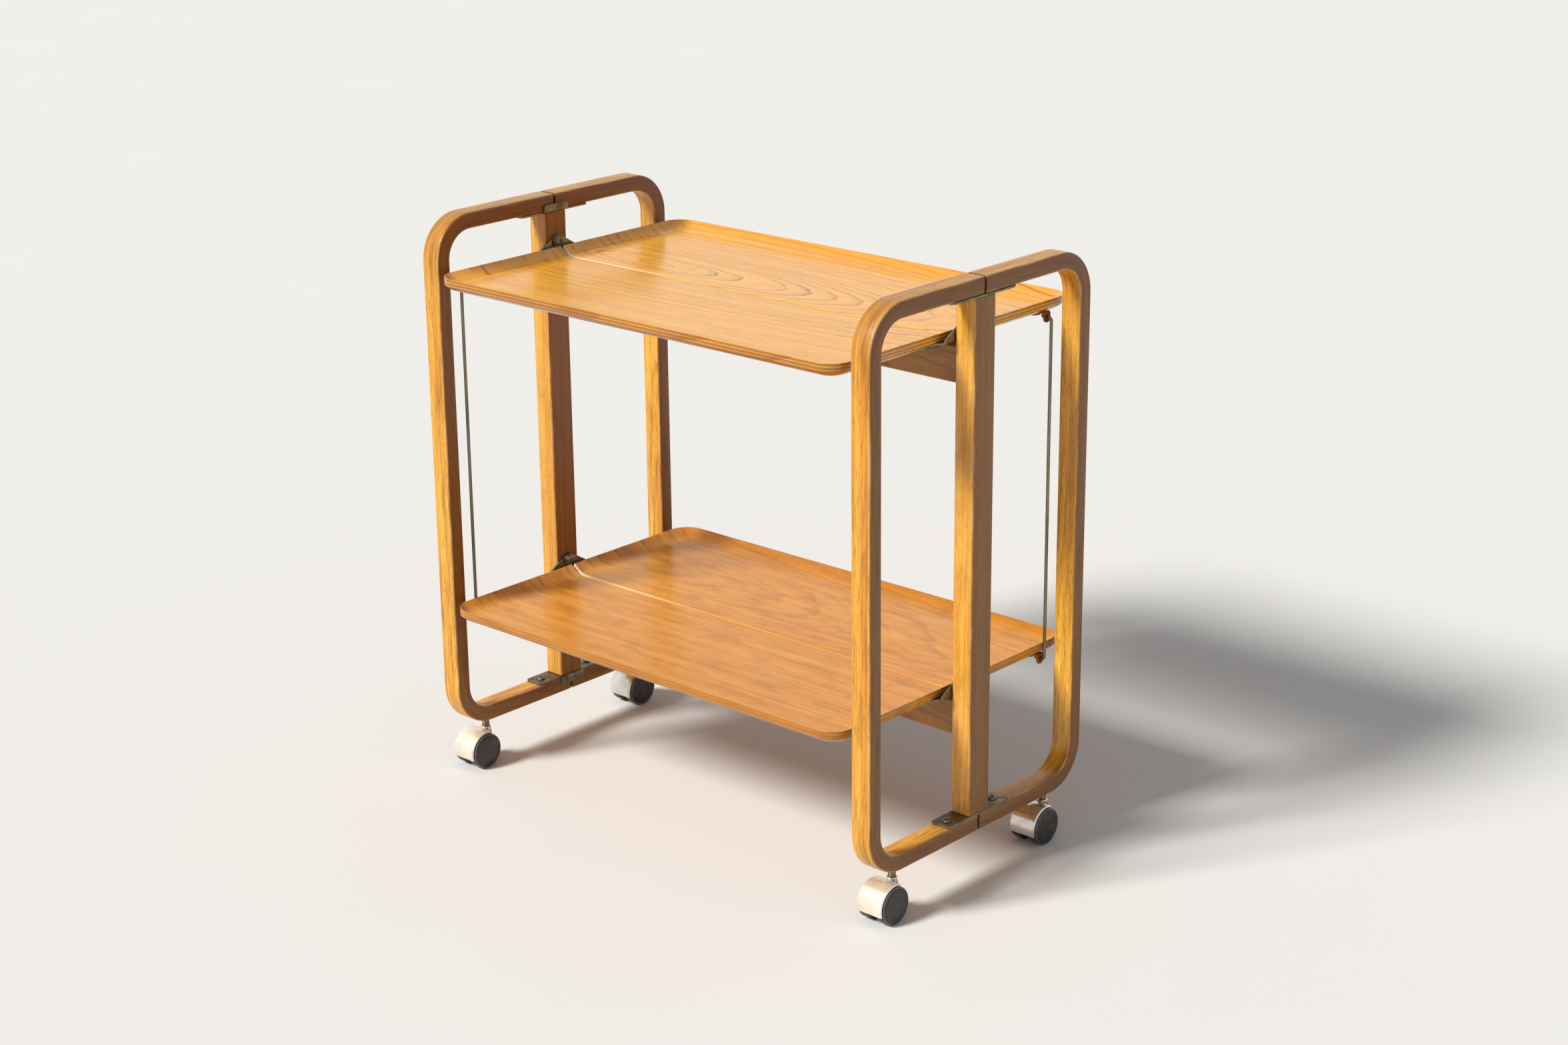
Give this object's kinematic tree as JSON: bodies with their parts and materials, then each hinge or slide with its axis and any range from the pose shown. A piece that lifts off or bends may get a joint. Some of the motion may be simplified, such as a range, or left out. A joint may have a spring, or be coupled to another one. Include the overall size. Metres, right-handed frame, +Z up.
{
  "type": "folding serving trolley",
  "caption": "Folding serving trolley with bent wooden end frames, a pair of trays that fold up along the middle, link rods and hooded twin-wheel casters.",
  "frame": {"origin": "on the floor, under the centre of the trolley", "axes": "+X along the trolley from the left end frame to the right one, +Y from the front to the rear, +Z up"},
  "size_m": [0.794, 0.462, 0.792],
  "materials": {
    "bent_wood": "laminated and bent, clear satin varnish",
    "solid_wood": "solid, clear satin varnish",
    "tray_veneer": "moulded plywood, semi-gloss varnish",
    "bracket_steel": "worn zinc plating",
    "rod_steel": "bright drawn wire",
    "chrome": "polished, slightly pitted",
    "wheel_plastic": "moulded, dark grey"
  },
  "bodies": {
    "chassis": {"post_left": "solid_wood", "hinge_plate_top_left": "bracket_steel", "hinge_plate_bottom_left": "bracket_steel", "post_right": "solid_wood", "hinge_plate_top_right": "bracket_steel", "hinge_plate_bottom_right": "bracket_steel", "stretcher_upper": "solid_wood", "tray_bolt_upper_left": "bracket_steel", "tray_bolt_upper_right": "bracket_steel", "stretcher_lower": "solid_wood", "tray_bolt_lower_left": "bracket_steel", "tray_bolt_lower_right": "bracket_steel"},
    "frame_left_front": {"frame_half_left_front": "bent_wood", "hinge_screw_top_left_front": "bracket_steel", "hinge_screw_bottom_left_front": "bracket_steel", "caster_stem_left_front": "bracket_steel"},
    "caster_left_front": {"caster_hood_left_front": "chrome"},
    "wheels_left_front": {"wheel_outer_left_front": "wheel_plastic", "wheel_inner_left_front": "wheel_plastic"},
    "frame_left_rear": {"frame_half_left_rear": "bent_wood", "hinge_screw_top_left_rear": "bracket_steel", "hinge_screw_bottom_left_rear": "bracket_steel", "caster_stem_left_rear": "bracket_steel"},
    "caster_left_rear": {"caster_hood_left_rear": "chrome"},
    "wheels_left_rear": {"wheel_outer_left_rear": "wheel_plastic", "wheel_inner_left_rear": "wheel_plastic"},
    "frame_right_front": {"frame_half_right_front": "bent_wood", "hinge_screw_top_right_front": "bracket_steel", "hinge_screw_bottom_right_front": "bracket_steel", "caster_stem_right_front": "bracket_steel"},
    "caster_right_front": {"caster_hood_right_front": "chrome"},
    "wheels_right_front": {"wheel_outer_right_front": "wheel_plastic", "wheel_inner_right_front": "wheel_plastic"},
    "frame_right_rear": {"frame_half_right_rear": "bent_wood", "hinge_screw_top_right_rear": "bracket_steel", "hinge_screw_bottom_right_rear": "bracket_steel", "caster_stem_right_rear": "bracket_steel"},
    "caster_right_rear": {"caster_hood_right_rear": "chrome"},
    "wheels_right_rear": {"wheel_outer_right_rear": "wheel_plastic", "wheel_inner_right_rear": "wheel_plastic"},
    "tray_half_upper_front": {"tray_upper_front": "tray_veneer", "arm_upper_left_front": "bracket_steel", "arm_upper_right_front": "bracket_steel", "rod_tab_upper_front": "bracket_steel"},
    "tray_half_upper_rear": {"tray_upper_rear": "tray_veneer", "arm_upper_left_rear": "bracket_steel", "arm_upper_right_rear": "bracket_steel", "rod_tab_upper_rear": "bracket_steel"},
    "tray_half_lower_front": {"tray_lower_front": "tray_veneer", "arm_lower_left_front": "bracket_steel", "arm_lower_right_front": "bracket_steel", "rod_tab_lower_front": "bracket_steel"},
    "tray_half_lower_rear": {"tray_lower_rear": "tray_veneer", "arm_lower_left_rear": "bracket_steel", "arm_lower_right_rear": "bracket_steel", "rod_tab_lower_rear": "bracket_steel"},
    "rod_front": {"link_rod_front": "rod_steel"},
    "rod_rear": {"link_rod_rear": "rod_steel"}
  },
  "joints": [
    {"name": "frame_hinge_left_front", "type": "hinge", "parent": "chassis", "child": "frame_left_front", "pos_m": [-0.373, -0.046, 0.4], "axis": [0, 0, 1], "range_deg": [0, 3]},
    {"name": "caster_swivel_left_front", "type": "hinge", "parent": "frame_left_front", "child": "caster_left_front", "pos_m": [-0.373, -0.155, 0.05], "axis": [0, 0, 1], "continuous": true},
    {"name": "wheel_spin_left_front", "type": "hinge", "parent": "caster_left_front", "child": "wheels_left_front", "pos_m": [-0.373, -0.172, 0.025], "axis": [1, 0, 0], "continuous": true},
    {"name": "frame_hinge_left_rear", "type": "hinge", "parent": "chassis", "child": "frame_left_rear", "pos_m": [-0.373, 0.046, 0.4], "axis": [0, 0, -1], "range_deg": [0, 3]},
    {"name": "caster_swivel_left_rear", "type": "hinge", "parent": "frame_left_rear", "child": "caster_left_rear", "pos_m": [-0.373, 0.155, 0.05], "axis": [0, 0, 1], "continuous": true},
    {"name": "wheel_spin_left_rear", "type": "hinge", "parent": "caster_left_rear", "child": "wheels_left_rear", "pos_m": [-0.373, 0.138, 0.025], "axis": [1, 0, 0], "continuous": true},
    {"name": "frame_hinge_right_front", "type": "hinge", "parent": "chassis", "child": "frame_right_front", "pos_m": [0.373, -0.046, 0.4], "axis": [0, 0, -1], "range_deg": [0, 3]},
    {"name": "caster_swivel_right_front", "type": "hinge", "parent": "frame_right_front", "child": "caster_right_front", "pos_m": [0.373, -0.155, 0.05], "axis": [0, 0, 1], "continuous": true},
    {"name": "wheel_spin_right_front", "type": "hinge", "parent": "caster_right_front", "child": "wheels_right_front", "pos_m": [0.373, -0.172, 0.025], "axis": [1, 0, 0], "continuous": true},
    {"name": "frame_hinge_right_rear", "type": "hinge", "parent": "chassis", "child": "frame_right_rear", "pos_m": [0.373, 0.046, 0.4], "axis": [0, 0, 1], "range_deg": [0, 3]},
    {"name": "caster_swivel_right_rear", "type": "hinge", "parent": "frame_right_rear", "child": "caster_right_rear", "pos_m": [0.373, 0.155, 0.05], "axis": [0, 0, 1], "continuous": true},
    {"name": "wheel_spin_right_rear", "type": "hinge", "parent": "caster_right_rear", "child": "wheels_right_rear", "pos_m": [0.373, 0.138, 0.025], "axis": [1, 0, 0], "continuous": true},
    {"name": "tray_fold_upper_front", "type": "hinge", "parent": "chassis", "child": "tray_half_upper_front", "pos_m": [0, 0, 0.727], "axis": [-1, 0, 0], "range_deg": [0, 90]},
    {"name": "tray_fold_upper_rear", "type": "hinge", "parent": "chassis", "child": "tray_half_upper_rear", "pos_m": [0, 0, 0.727], "axis": [1, 0, 0], "range_deg": [0, 90]},
    {"name": "tray_fold_lower_front", "type": "hinge", "parent": "chassis", "child": "tray_half_lower_front", "pos_m": [0, 0, 0.265], "axis": [-1, 0, 0], "range_deg": [0, 90]},
    {"name": "tray_fold_lower_rear", "type": "hinge", "parent": "chassis", "child": "tray_half_lower_rear", "pos_m": [0, 0, 0.265], "axis": [1, 0, 0], "range_deg": [0, 90]},
    {"name": "rod_pivot_front", "type": "hinge", "parent": "tray_half_upper_front", "child": "rod_front", "pos_m": [-0.3518, -0.181, 0.699], "axis": [-1, 0, 0], "range_deg": [-90, 0]},
    {"name": "rod_pivot_rear", "type": "hinge", "parent": "tray_half_upper_rear", "child": "rod_rear", "pos_m": [0.3518, 0.181, 0.699], "axis": [1, 0, 0], "range_deg": [-90, 0]}
  ],
  "couplings": [
    {"joint": "tray_fold_lower_front", "follows": "tray_fold_upper_front", "ratio": 1},
    {"joint": "rod_pivot_front", "follows": "tray_fold_upper_front", "ratio": -1},
    {"joint": "tray_fold_lower_rear", "follows": "tray_fold_upper_rear", "ratio": 1},
    {"joint": "rod_pivot_rear", "follows": "tray_fold_upper_rear", "ratio": -1}
  ]
}
